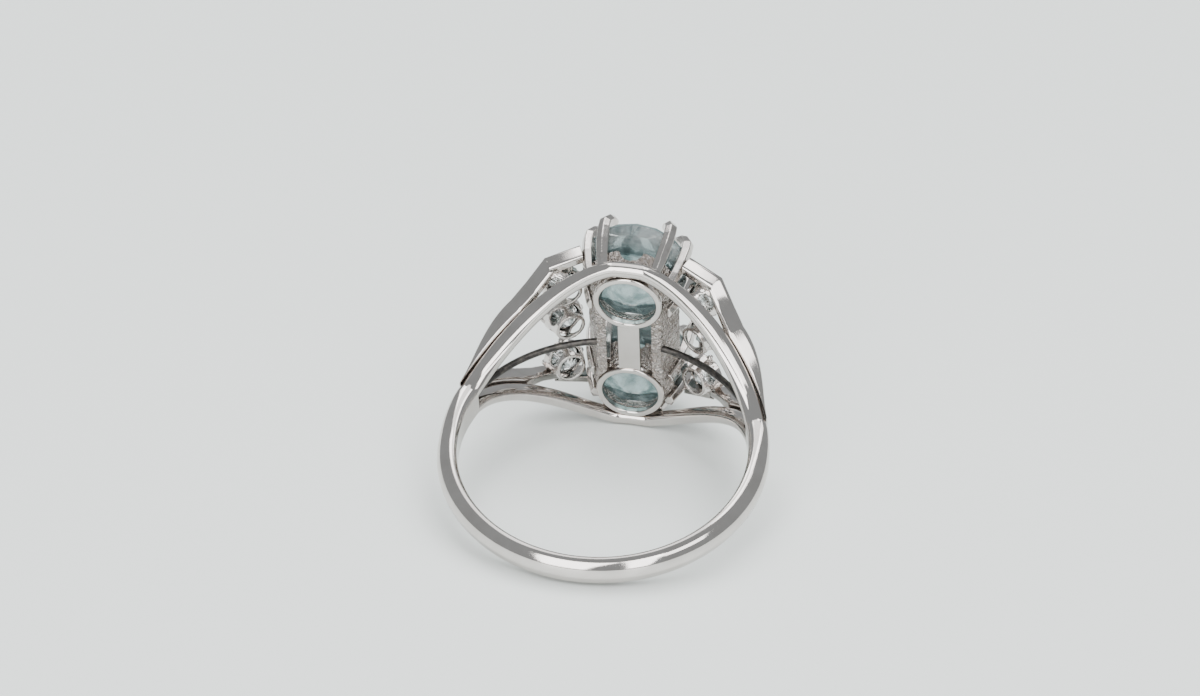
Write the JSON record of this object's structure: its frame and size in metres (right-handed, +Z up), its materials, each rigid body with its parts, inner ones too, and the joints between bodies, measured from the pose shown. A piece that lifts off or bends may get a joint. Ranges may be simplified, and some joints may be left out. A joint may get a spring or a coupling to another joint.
{
  "type": "engagement ring",
  "caption": "Engagement ring with round pale blue stones in open claw baskets, small side diamonds in collets, forked shoulders and a plain polished shank.",
  "frame": {"origin": "centre of the ring's footprint, on the surface it lies on", "axes": "+X across the finger hole, +Y from the palm side towards the stones, +Z up from the surface"},
  "size_m": [0.0194, 0.024, 0.0142],
  "materials": {
    "polished_metal": "polished white gold with fine wear scratches",
    "cast_metal": "as cast white gold, grainy, only the high points bright",
    "dark_wire": "unpolished drawn wire, darkened",
    "aquamarine": "polished, pale blue green",
    "diamond": "polished, near colourless"
  },
  "bodies": {
    "root": {"aquamarine_lower": "aquamarine", "aquamarine_upper": "aquamarine", "base_ring_lower": "polished_metal", "base_ring_upper": "polished_metal", "basket_lower": "cast_metal", "basket_upper": "cast_metal", "centre_strut": "polished_metal", "claw_lower_left_inner_1": "cast_metal", "claw_lower_left_inner_2": "cast_metal", "claw_lower_left_outer_1": "cast_metal", "claw_lower_left_outer_2": "cast_metal", "claw_lower_right_inner_1": "cast_metal", "claw_lower_right_inner_2": "cast_metal", "claw_lower_right_outer_1": "cast_metal", "claw_lower_right_outer_2": "cast_metal", "claw_upper_left_inner_1": "cast_metal", "claw_upper_left_inner_2": "cast_metal", "claw_upper_left_outer_1": "cast_metal", "claw_upper_left_outer_2": "cast_metal", "claw_upper_right_inner_1": "cast_metal", "claw_upper_right_inner_2": "cast_metal", "claw_upper_right_outer_1": "cast_metal", "claw_upper_right_outer_2": "cast_metal", "collet_lower_left": "cast_metal", "collet_lower_right": "cast_metal", "collet_middle_left": "cast_metal", "collet_middle_right": "cast_metal", "collet_upper_left": "cast_metal", "collet_upper_right": "cast_metal", "diamond_lower_left": "diamond", "diamond_lower_right": "diamond", "diamond_middle_left": "diamond", "diamond_middle_right": "diamond", "diamond_upper_left": "diamond", "diamond_upper_right": "diamond", "gallery_rail_lower": "polished_metal", "gallery_rail_upper": "polished_metal", "mid_wire_left": "dark_wire", "mid_wire_right": "dark_wire", "shank": "polished_metal", "shoulder_bar_lower_left": "polished_metal", "shoulder_bar_lower_right": "polished_metal", "shoulder_bar_upper_left": "polished_metal", "shoulder_bar_upper_right": "polished_metal", "side_plate_left": "cast_metal", "side_plate_right": "cast_metal"}
  },
  "joints": []
}
